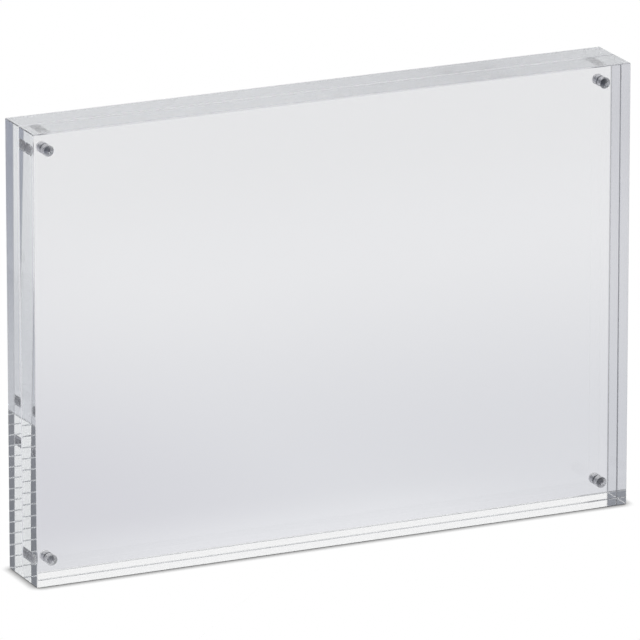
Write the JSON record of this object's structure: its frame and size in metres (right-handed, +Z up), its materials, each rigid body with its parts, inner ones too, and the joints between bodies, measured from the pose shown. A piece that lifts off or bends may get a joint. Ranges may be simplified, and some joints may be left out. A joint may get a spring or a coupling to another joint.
{
  "type": "acrylic block frame",
  "caption": "Clear acrylic block photo frame: two polished slabs held face to face by magnets set in their corners, free-standing in landscape or portrait.",
  "frame": {"origin": "middle of the footprint, on the surface the frame stands on", "axes": "+X to the viewer's right along the long edge, +Y from the front block to the rear block, +Z up"},
  "size_m": [0.178, 0.0194, 0.127],
  "materials": {
    "clear_acrylic": "polished",
    "plated_magnet": "polished"
  },
  "bodies": {
    "rear": {"rear_block": "clear_acrylic", "rear_magnet_bottom_left": "plated_magnet", "rear_magnet_bottom_right": "plated_magnet", "rear_magnet_top_left": "plated_magnet", "rear_magnet_top_right": "plated_magnet"},
    "front": {"front_block": "clear_acrylic", "front_magnet_bottom_left": "plated_magnet", "front_magnet_bottom_right": "plated_magnet", "front_magnet_top_left": "plated_magnet", "front_magnet_top_right": "plated_magnet"}
  },
  "joints": [
    {"name": "front_block_pull", "type": "slide", "parent": "rear", "child": "front", "axis": [0, -1, 0], "range_m": [0, 0.06]}
  ]
}
